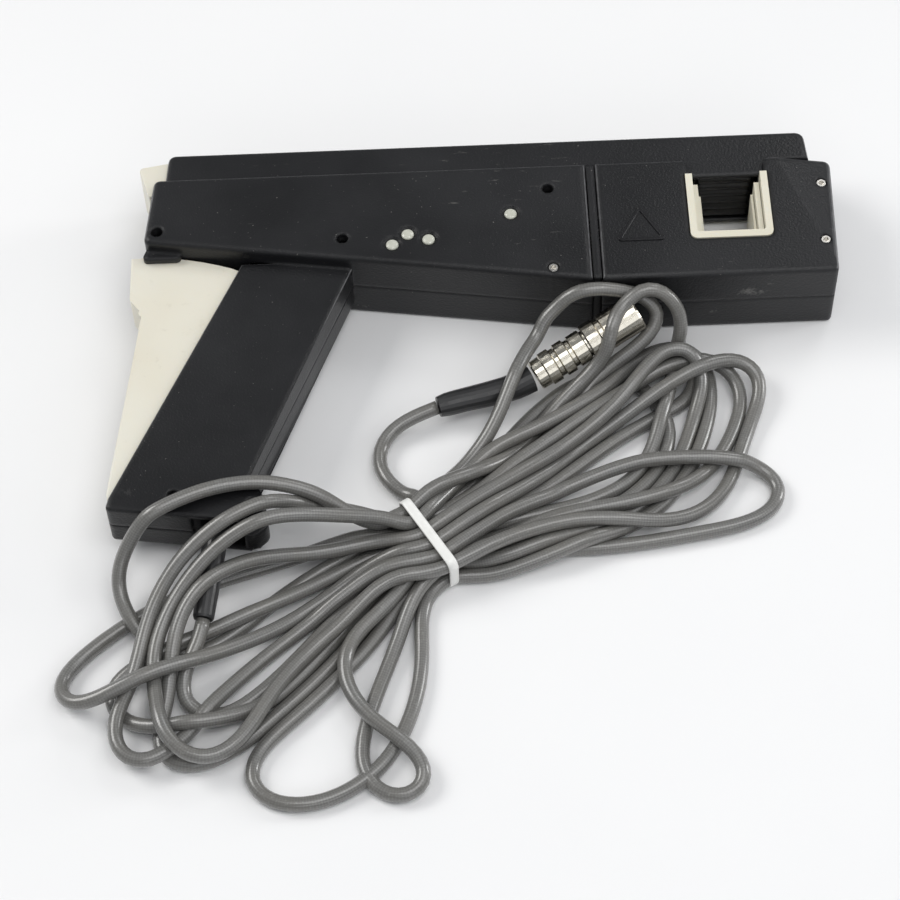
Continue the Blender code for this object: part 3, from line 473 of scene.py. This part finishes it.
def tie_outline(grow):
    """The stretched outline round the runs, at a distance from them: (across, up) in millimetres."""
    centres = []
    for row, slots in ROW_SLOTS.items():
        for index in range(slots):
            centres.append((((slots - 1) / 2 - index) * SLOT_PITCH, ROW_HEIGHTS[row]))
    centres = np.array(centres)
    outline = []
    for angle in np.linspace(0.0, 2 * math.pi, TIE_SAMPLES, endpoint=False):
        way = np.array((math.cos(angle), math.sin(angle)))
        widest = centres[np.argmax(centres @ way)]
        outline.append(widest + way * (CORD_DIAMETER / 2 + grow))
    return np.array(outline)


def make_tie(material):
    """A flat band round the runs, with its outer edges chamfered."""
    side_top = TIE_GAP + TIE_THICKNESS * TIE_SIDE_SHARE
    top = TIE_GAP + TIE_THICKNESS
    profile = ((-0.5, TIE_GAP), (-0.5, side_top), (-TIE_FLAT_SHARE, top),
               (TIE_FLAT_SHARE, top), (0.5, side_top), (0.5, TIE_GAP))
    run = np.array((math.cos(TIE_ANGLE), math.sin(TIE_ANGLE)))
    side = np.array((-run[1], run[0]))
    rings = []
    for along, grow in profile:
        outline = tie_outline(grow)
        plan = TIE_CENTRE + run * along * TIE_WIDTH + outline[:, :1] * side
        heights = np.maximum(outline[:, 1], TIE_FLOOR_GAP + TIE_GAP + TIE_THICKNESS - grow)
        rings.append(np.column_stack([plan, heights]))
    points = (np.concatenate(rings) - DRAWING_ORIGIN) * MM
    faces = []
    for ring in range(len(profile)):
        other = (ring + 1) % len(profile)
        for index in range(TIE_SAMPLES):
            after = (index + 1) % TIE_SAMPLES
            faces.append((ring * TIE_SAMPLES + index, ring * TIE_SAMPLES + after,
                          other * TIE_SAMPLES + after, other * TIE_SAMPLES + index))
    mesh = bpy.data.meshes.new("tie_band")
    mesh.from_pydata(points.tolist(), [], faces)
    mesh.shade_smooth()
    band = add_object("tie_band", mesh, material)
    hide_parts("hank_tie")
    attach(band, "housing")


# ---------------------------------------------------------------- materials
BLACK = (0.0078, 0.008, 0.009)
# Painted shade: the raised mark is coloured darker than the shell black.
MARK_SHADE_BLACK = (0.005, 0.005, 0.006)
# Painted shade: parts deep in the slot are coloured darker than the shell black.
INNER_SHADE_BLACK = (0.004, 0.004, 0.0045)
# Pale grey painted on the upper rims as a highlight.
RIM_HIGHLIGHT_GREY = (0.15, 0.15, 0.155)
PALE_SCUFF = (0.22, 0.215, 0.2)
PALE_DUST = (0.3, 0.29, 0.27)
CREAM = (0.72, 0.7, 0.615)
CREAM_AGED = (0.67, 0.635, 0.53)
LINER_CREAM = (0.7, 0.675, 0.57)
LINER_AGED = (0.62, 0.58, 0.46)
GRIME = (0.34, 0.3, 0.22)
BRIGHT_STEEL = (0.62, 0.6, 0.56)
BRIGHT_STAIN = (0.2, 0.17, 0.13)
DARK_STEEL = (0.16, 0.16, 0.165)
DARK_STAIN = (0.09, 0.075, 0.06)
CHROME = (0.56, 0.53, 0.46)
CHROME_STAIN = (0.3, 0.26, 0.2)
MILKY = (0.6, 0.6, 0.53)
MILKY_DEEP = (0.42, 0.43, 0.37)
RUBBER = (0.012, 0.012, 0.013)
RUBBER_PALE = (0.026, 0.026, 0.027)
RUBBER_DUST = (0.2, 0.19, 0.17)
BRAID_DARK = (0.095, 0.094, 0.089)
BRAID_LIGHT = (0.165, 0.163, 0.155)
BRAID_SOILED = (0.13, 0.124, 0.11)
BRAID_RUBBED = (0.29, 0.288, 0.275)
NYLON = (0.86, 0.86, 0.84)
NYLON_DEEP = (0.7, 0.7, 0.67)
BOARD_GREEN = (0.012, 0.085, 0.035)
TRACK_GREEN = (0.03, 0.16, 0.07)
TABLE_LOW = (0.8, 0.8, 0.805)
TABLE_HIGH = (0.84, 0.84, 0.84)

# Radii in metres by which edges are rounded in shading.
SHELL_ROUNDING = 0.0024
MARK_ROUNDING = 0.0003

# The cord's braid: strands about it, and the length of one crossing in metres.
BRAID_STRANDS = 9.0
BRAID_PITCH = 0.0023


def new_material(name):
    material = bpy.data.materials.new(name)
    material.use_nodes = True
    return material, material.node_tree.nodes, material.node_tree.links


def noise(nodes, links, scale, detail=3.0, stretch=(1.0, 1.0, 1.0), rough=0.5):
    """A noise texture in the object's own coordinates."""
    coordinates = nodes.new("ShaderNodeTexCoord")
    mapping = nodes.new("ShaderNodeMapping")
    mapping.inputs["Scale"].default_value = stretch
    texture = nodes.new("ShaderNodeTexNoise")
    texture.inputs["Scale"].default_value = scale
    texture.inputs["Detail"].default_value = detail
    texture.inputs["Roughness"].default_value = rough
    links.new(coordinates.outputs["Object"], mapping.inputs["Vector"])
    links.new(mapping.outputs["Vector"], texture.inputs["Vector"])
    return texture.outputs["Fac"]


def ramp(nodes, links, source, low, high, out_low=0.0, out_high=1.0):
    change = nodes.new("ShaderNodeMapRange")
    change.inputs["From Min"].default_value = low
    change.inputs["From Max"].default_value = high
    change.inputs["To Min"].default_value = out_low
    change.inputs["To Max"].default_value = out_high
    links.new(source, change.inputs["Value"])
    return change.outputs["Result"]


def mixed(nodes, links, share, first, second):
    """A colour between two, by the share given. Either colour may be a socket."""
    mix = nodes.new("ShaderNodeMix")
    mix.data_type = "RGBA"
    links.new(share, mix.inputs["Factor"])
    for socket, colour in (("A", first), ("B", second)):
        target = [entry for entry in mix.inputs if entry.name == socket and entry.type == "RGBA"][0]
        if isinstance(colour, tuple):
            target.default_value = (*colour, 1.0)
        else:
            links.new(colour, target)
    return [entry for entry in mix.outputs if entry.type == "RGBA"][0]


def combined(nodes, links, kind, first, second):
    step = nodes.new("ShaderNodeMath")
    step.operation = kind
    for socket, value in zip(step.inputs, (first, second)):
        if isinstance(value, float):
            socket.default_value = value
        else:
            links.new(value, socket)
    return step.outputs[0]


def bumped(nodes, links, shader, layers, rounded=0.0):
    """Bump layers on the shader, each (height, strength, depth in metres), over edges rounded in shading."""
    last = None
    if rounded:
        bevel = nodes.new("ShaderNodeBevel")
        bevel.samples = 6
        bevel.inputs["Radius"].default_value = rounded
        last = bevel.outputs["Normal"]
    for height, strength, depth in layers:
        bump = nodes.new("ShaderNodeBump")
        bump.inputs["Strength"].default_value = strength
        bump.inputs["Distance"].default_value = depth
        links.new(height, bump.inputs["Height"])
        if last:
            links.new(last, bump.inputs["Normal"])
        last = bump.outputs["Normal"]
    links.new(last, shader.inputs["Normal"])


def rim_highlight_share(nodes, links):
    """How much a point is on the rim between an upward face and a wall that faces +y or +x, where a painted
    highlight goes.
    """
    geometry = nodes.new("ShaderNodeNewGeometry")
    parts = nodes.new("ShaderNodeSeparateXYZ")
    links.new(geometry.outputs["Normal"], parts.inputs["Vector"])
    rise = combined(nodes, links, "MULTIPLY", parts.outputs["Z"], parts.outputs["Z"])
    across = combined(nodes, links, "SUBTRACT", 1.0, rise)
    share = ramp(nodes, links, combined(nodes, links, "MULTIPLY", rise, across), 0.1, 0.22)
    side = combined(nodes, links, "MAXIMUM", ramp(nodes, links, parts.outputs["Y"], -0.35, 0.1),
                    ramp(nodes, links, parts.outputs["X"], 0.3, 0.6))
    return combined(nodes, links, "MULTIPLY", share, side)


def moulded_black(name="moulded_black", colour=BLACK, grain=0.5, rounded=SHELL_ROUNDING):
    """Black moulded plastic: fine spark-eroded grain, a painted highlight on the upper rims, dust specks and
    pale scuffs.
    """
    material, nodes, links = new_material(name)
    shader = nodes["Principled BSDF"]
    shader.inputs["Specular IOR Level"].default_value = 0.36
    patches = noise(nodes, links, 22.0, 4.0)
    specks = ramp(nodes, links, noise(nodes, links, 900.0, 2.0), 0.74, 0.775)
    streaks = ramp(nodes, links, noise(nodes, links, 70.0, 5.0, (1.0, 6.0, 1.0), 0.7), 0.64, 0.74)
    scuffs = combined(nodes, links, "MULTIPLY", streaks,
                      ramp(nodes, links, noise(nodes, links, 16.0, 2.0), 0.5, 0.66))
    # Painted highlight: upper rims facing +y or +x are lightened towards pale grey, with a grainy break-up.
    rim_highlight = combined(nodes, links, "MULTIPLY", rim_highlight_share(nodes, links),
                    ramp(nodes, links, noise(nodes, links, 260.0, 5.0), 0.3, 0.6, 0.45, 1.0))
    base = mixed(nodes, links, ramp(nodes, links, patches, 0.35, 0.7), colour,
                 tuple(channel * 1.5 for channel in colour))
    base = mixed(nodes, links, combined(nodes, links, "MULTIPLY", rim_highlight, 0.9), base, RIM_HIGHLIGHT_GREY)
    base = mixed(nodes, links, combined(nodes, links, "MULTIPLY", scuffs, 0.5), base, PALE_SCUFF)
    base = mixed(nodes, links, combined(nodes, links, "MULTIPLY", specks, 0.5), base, PALE_DUST)
    links.new(base, shader.inputs["Base Color"])
    links.new(ramp(nodes, links, patches, 0.3, 0.7, 0.3, 0.42), shader.inputs["Roughness"])
    bumped(nodes, links, shader, (
        (noise(nodes, links, 1000.0, 2.0), grain, 0.0003),
        (noise(nodes, links, 420.0, 4.0), 0.25, 0.00008),
        (scuffs, 0.2, 0.00004),
    ), rounded)
    return material


def moulded_cream(name="moulded_cream", colour=CREAM, aged=CREAM_AGED):
    """Cream moulded plastic, smooth, a little yellowed, with fine handling marks and grime in patches."""
    material, nodes, links = new_material(name)
    shader = nodes["Principled BSDF"]
    clouds = noise(nodes, links, 18.0, 5.0)
    grime = ramp(nodes, links, noise(nodes, links, 150.0, 6.0, rough=0.7), 0.6, 0.78)
    marks = ramp(nodes, links, noise(nodes, links, 260.0, 3.0, (1.0, 14.0, 1.0)), 0.66, 0.75)
    base = mixed(nodes, links, ramp(nodes, links, clouds, 0.35, 0.75), colour, aged)
    base = mixed(nodes, links, combined(nodes, links, "MULTIPLY", grime, 0.25), base, GRIME)
    links.new(base, shader.inputs["Base Color"])
    links.new(combined(nodes, links, "ADD", ramp(nodes, links, clouds, 0.3, 0.7, 0.3, 0.42),
                       combined(nodes, links, "MULTIPLY", marks, 0.12)), shader.inputs["Roughness"])
    shader.inputs["Subsurface Weight"].default_value = 0.12
    shader.inputs["Subsurface Radius"].default_value = (0.004, 0.003, 0.0018)
    bumped(nodes, links, shader, (
        (noise(nodes, links, 1400.0, 3.0), 0.12, 0.00004),
        (marks, 0.12, 0.00003),
    ))
    return material


def machined(name, colour, rough, grain=(1.0, 1.0, 1.0), stain=BRIGHT_STAIN):
    """Metal with turning or rolling marks, dull patches and a little staining."""
    material, nodes, links = new_material(name)
    shader = nodes["Principled BSDF"]
    shader.inputs["Metallic"].default_value = 1.0
    lines = noise(nodes, links, 700.0, 4.0, grain)
    dull = noise(nodes, links, 120.0, 5.0)
    base = mixed(nodes, links, ramp(nodes, links, dull, 0.58, 0.8, 0.0, 0.6), colour, stain)
    links.new(base, shader.inputs["Base Color"])
    gloss = combined(nodes, links, "ADD", ramp(nodes, links, lines, 0.3, 0.7, rough * 0.6, rough * 1.4),
                     ramp(nodes, links, dull, 0.5, 0.8, 0.0, 0.18))
    links.new(gloss, shader.inputs["Roughness"])
    bumped(nodes, links, shader, ((lines, 0.15, 0.00004), (dull, 0.08, 0.0001)))
    return material


def milky_lens():
    """Milky diffusing plastic of the small lamps."""
    material, nodes, links = new_material("milky_lens")
    shader = nodes["Principled BSDF"]
    clouds = noise(nodes, links, 500.0, 4.0)
    links.new(mixed(nodes, links, clouds, MILKY, MILKY_DEEP), shader.inputs["Base Color"])
    links.new(ramp(nodes, links, clouds, 0.3, 0.7, 0.18, 0.34), shader.inputs["Roughness"])
    shader.inputs["Subsurface Weight"].default_value = 0.5
    shader.inputs["Subsurface Radius"].default_value = (0.002, 0.002, 0.002)
    shader.inputs["Coat Weight"].default_value = 0.4
    bumped(nodes, links, shader, ((noise(nodes, links, 1500.0), 0.08, 0.00003),))
    return material


def soft_rubber():
    """Black rubber of boots and seals: low sheen, a fine grain and pale dust in patches."""
    material, nodes, links = new_material("soft_rubber")
    shader = nodes["Principled BSDF"]
    clouds = noise(nodes, links, 90.0, 5.0)
    dust = ramp(nodes, links, noise(nodes, links, 650.0, 5.0, rough=0.7), 0.6, 0.8)
    base = mixed(nodes, links, clouds, RUBBER, RUBBER_PALE)
    base = mixed(nodes, links, combined(nodes, links, "MULTIPLY", dust, 0.25), base, RUBBER_DUST)
    links.new(base, shader.inputs["Base Color"])
    links.new(ramp(nodes, links, clouds, 0.3, 0.7, 0.28, 0.48), shader.inputs["Roughness"])
    bumped(nodes, links, shader, ((noise(nodes, links, 1800.0, 3.0), 0.2, 0.00005), (clouds, 0.15, 0.0003)))
    return material


def braided_jacket():
    """Clear jacket over a grey braid: crossing strands, glossy outside, rubbed and dusty in places."""
    material, nodes, links = new_material("braided_jacket")
    shader = nodes["Principled BSDF"]
    layer = nodes.new("ShaderNodeAttribute")
    layer.attribute_name = "braid"
    parts = nodes.new("ShaderNodeSeparateXYZ")
    links.new(layer.outputs["Vector"], parts.inputs["Vector"])
    turn = combined(nodes, links, "ARCTAN2", parts.outputs["Y"], parts.outputs["X"])
    turn = combined(nodes, links, "MULTIPLY", turn, BRAID_STRANDS)
    along = combined(nodes, links, "MULTIPLY", parts.outputs["Z"], 2 * math.pi / BRAID_PITCH)
    waves = []
    for kind in ("ADD", "SUBTRACT"):
        wave = combined(nodes, links, kind, along, turn)
        waves.append(combined(nodes, links, "SINE", wave, 0.0))
    weave = ramp(nodes, links, combined(nodes, links, "MULTIPLY", waves[0], waves[1]), -1.0, 1.0)
    clouds = noise(nodes, links, 60.0, 5.0)
    fine = noise(nodes, links, 900.0, 4.0, rough=0.65)
    base = mixed(nodes, links, weave, BRAID_DARK, BRAID_LIGHT)
    base = mixed(nodes, links, ramp(nodes, links, clouds, 0.35, 0.7, 0.0, 0.6), base, BRAID_SOILED)
    base = mixed(nodes, links, ramp(nodes, links, fine, 0.56, 0.74, 0.0, 0.5), base, BRAID_RUBBED)
    links.new(base, shader.inputs["Base Color"])
    links.new(ramp(nodes, links, fine, 0.3, 0.75, 0.3, 0.5), shader.inputs["Roughness"])
    shader.inputs["Coat Weight"].default_value = 1.0
    shader.inputs["Coat Roughness"].default_value = 0.2
    shader.inputs["Subsurface Weight"].default_value = 0.1
    shader.inputs["Subsurface Radius"].default_value = (0.001, 0.001, 0.001)
    bumped(nodes, links, shader, ((weave, 0.22, 0.0001), (fine, 0.3, 0.00012), (clouds, 0.3, 0.0006)))
    return material


def tie_plastic():
    """White nylon band, slightly see-through, with a fine grain."""
    material, nodes, links = new_material("tie_nylon")
    shader = nodes["Principled BSDF"]
    clouds = noise(nodes, links, 220.0, 4.0)
    links.new(mixed(nodes, links, clouds, NYLON, NYLON_DEEP), shader.inputs["Base Color"])
    links.new(ramp(nodes, links, clouds, 0.3, 0.7, 0.26, 0.42), shader.inputs["Roughness"])
    shader.inputs["Subsurface Weight"].default_value = 0.3
    shader.inputs["Subsurface Radius"].default_value = (0.002, 0.002, 0.002)
    bumped(nodes, links, shader, ((noise(nodes, links, 1300.0, 2.0), 0.15, 0.00006),))
    return material


def circuit_green():
    """Solder-masked circuit board with its copper tracks just showing."""
    material, nodes, links = new_material("circuit_green")
    shader = nodes["Principled BSDF"]
    tracks = ramp(nodes, links, noise(nodes, links, 320.0, 0.0, (1.0, 4.0, 1.0)), 0.48, 0.52)
    base = mixed(nodes, links, tracks, BOARD_GREEN, TRACK_GREEN)
    links.new(base, shader.inputs["Base Color"])
    links.new(ramp(nodes, links, tracks, 0.0, 1.0, 0.3, 0.4), shader.inputs["Roughness"])
    bumped(nodes, links, shader, ((tracks, 0.3, 0.00005),))
    return material


NODE_FINISHES = {
    "moulded_black": (
        "near_rear_shell", "far_rear_shell", "near_nozzle_cover", "far_nozzle_cover", "top_rail",
        "seam_band",
    ),
    "moulded_cream": ("squeeze_lever", "release_tab"),
    "liner_cream": ("slot_liner_outer", "slot_liner_inner", "tag_guide"),
    "bright_steel": (
        "screw_nose_upper", "screw_nose_lower", "screw_barrel_front", "lever_pin", "lever_spring",
        "push_rod", "cable_clamp",
    ),
    "dark_steel": (
        "screw_barrel_top", "screw_barrel_mid", "screw_barrel_rear", "screw_handle_toe",
        "screw_handle_rear", "cam_pin",
    ),
    "chrome": ("plug_shell", "plug_ring"),
    "milky_lens": ("status_lamp_1", "status_lamp_2", "status_lamp_3", "status_lamp_4"),
    "soft_rubber": ("strain_relief_boot", "plug_boot", "plug_insert", "microswitch_body"),
    # Parts deep in the slot, given a darker black as painted shade.
    "inner_shade_black": (
        "press_carriage", "heater_plate", "rod_guide_rear", "rod_guide_front", "terminal_block",
        "microswitch_plunger", "inner_lead",
    ),
    "circuit_green": ("circuit_board",),
}


def finish_nodes():
    materials = {
        "moulded_black": moulded_black(),
        "moulded_cream": moulded_cream(),
        "liner_cream": moulded_cream("liner_cream", LINER_CREAM, LINER_AGED),
        "bright_steel": machined("bright_steel", BRIGHT_STEEL, 0.24),
        "dark_steel": machined("dark_steel", DARK_STEEL, 0.3, stain=DARK_STAIN),
        "chrome": machined("chrome", CHROME, 0.17, stain=CHROME_STAIN),
        "milky_lens": milky_lens(),
        "soft_rubber": soft_rubber(),
        "inner_shade_black": moulded_black("inner_shade_black", INNER_SHADE_BLACK, 0.2),
        "circuit_green": circuit_green(),
        "mark_shade_black": moulded_black("mark_shade_black", MARK_SHADE_BLACK, 0.3, MARK_ROUNDING),
    }
    for finish, names in NODE_FINISHES.items():
        for name in names:
            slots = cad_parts[name].material_slots
            slots[0].material = materials[finish]
    return materials


# ---------------------------------------------------------------- embossed mark on the nozzle
MARK_CENTRE = (69.6, 37.3)
MARK_REACH = 13.2
MARK_WIDTH = 2.0
MARK_CORNER = 1.8
MARK_RISE = 0.6
MARK_SLOPE = 0.3
SIDE_FACE_HEIGHT = 38.0
CORNER_STEPS = 5


def triangle_loop(inset, height):
    """A triangle with rounded corners, drawn in from the mark's outline by the inset."""
    corner = max(0.4, MARK_CORNER - inset)
    reach = MARK_REACH - 2 * inset - 2 * corner
    loop = []
    for index in range(3):
        towards = math.radians(90 + 120 * index)
        for step in range(CORNER_STEPS):
            angle = towards + math.radians(-60 + 120 * step / (CORNER_STEPS - 1))
            loop.append((MARK_CENTRE[0] + reach * math.cos(towards) + corner * math.cos(angle),
                         MARK_CENTRE[1] + reach * math.sin(towards) + corner * math.sin(angle), height))
    return loop


def make_mark(material):
    """A plain raised triangle outline with sloping sides."""
    top = SIDE_FACE_HEIGHT + MARK_RISE
    loops = [triangle_loop(0.0, SIDE_FACE_HEIGHT - 0.1), triangle_loop(MARK_SLOPE, top),
             triangle_loop(MARK_WIDTH - MARK_SLOPE, top), triangle_loop(MARK_WIDTH, SIDE_FACE_HEIGHT - 0.1)]
    count = len(loops[0])
    faces = []
    for ring in range(len(loops) - 1):
        for index in range(count):
            after = (index + 1) % count
            faces.append((ring * count + index, ring * count + after,
                          (ring + 1) * count + after, (ring + 1) * count + index))
    points = (np.array([point for loop in loops for point in loop]) - DRAWING_ORIGIN) * MM
    mesh = bpy.data.meshes.new("nozzle_mark")
    mesh.from_pydata(points.tolist(), [], faces)
    mark = add_object("nozzle_mark", mesh, material)
    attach(mark, "housing")


# ---------------------------------------------------------------- surroundings
TABLE_REACH = 4.0
TABLE_ROUGHNESS = 0.6
WHITE = (1.0, 1.0, 1.0)
WORLD_TINT = (0.95, 0.97, 1.0, 1.0)
WORLD_STRENGTH = 0.36

# One light a line: its name, place, aim, size, watts and tint.
LIGHTS = (
    ("window_soft", (-1.3, 0.5, 1.3), (0.0, 0.0, 0.0), (1.0, 0.8), 16.5, (1.0, 0.99, 0.97)),
    ("overhead", (0.3, -0.4, 1.6), (0.0, -0.05, 0.0), (1.2, 0.9), 10.0, WHITE),
    ("right_soft", (1.3, -0.5, 1.1), (0.1, 0.0, 0.0), (0.7, 0.7), 2.6, WHITE),
    ("right_low", (1.6, 0.36, 0.52), (-0.08, -0.05, 0.03), (0.35, 0.75), 7.5, WHITE),
    ("nose_soft", (0.62, 0.9, 1.1), (0.1, 0.05, 0.0), (0.45, 0.3), 2.0, WHITE),
    ("front_fill", (0.3, -1.5, 0.9), (0.0, -0.05, 0.0), (1.2, 0.6), 3.0, (0.97, 0.98, 1.0)),
)


def make_floor():
    mesh = bpy.data.meshes.new("table_top")
    reach = TABLE_REACH
    corners = [(-reach, -reach, 0), (reach, -reach, 0), (reach, reach, 0), (-reach, reach, 0)]
    mesh.from_pydata(corners, [], [(0, 1, 2, 3)])
    material, nodes, links = new_material("pale_table")
    shader = nodes["Principled BSDF"]
    clouds = noise(nodes, links, 6.0, 3.0)
    links.new(mixed(nodes, links, clouds, TABLE_LOW, TABLE_HIGH), shader.inputs["Base Color"])
    shader.inputs["Roughness"].default_value = TABLE_ROUGHNESS
    add_object("table_top", mesh, material)


def area_light(name, place, aim, size, power, tint):
    data = bpy.data.lights.new(name, "AREA")
    data.shape = "RECTANGLE"
    data.size, data.size_y = size
    data.energy = power
    data.color = tint
    light = bpy.data.objects.new(name, data)
    bpy.context.scene.collection.objects.link(light)
    light.location = place
    light.rotation_euler = (Vector(aim) - Vector(place)).to_track_quat("-Z", "Y").to_euler()


def make_lights():
    for row in LIGHTS:
        area_light(*row)
    world = bpy.data.worlds.new("studio")
    world.use_nodes = True
    world.node_tree.nodes["Background"].inputs["Color"].default_value = WORLD_TINT
    world.node_tree.nodes["Background"].inputs["Strength"].default_value = WORLD_STRENGTH
    bpy.context.scene.world = world
    bpy.context.scene.view_settings.view_transform = "Standard"


def main():
    make_camera()
    make_cord(braided_jacket())
    make_tie(tie_plastic())
    materials = finish_nodes()
    make_mark(materials["mark_shade_black"])
    make_floor()
    make_lights()


main()
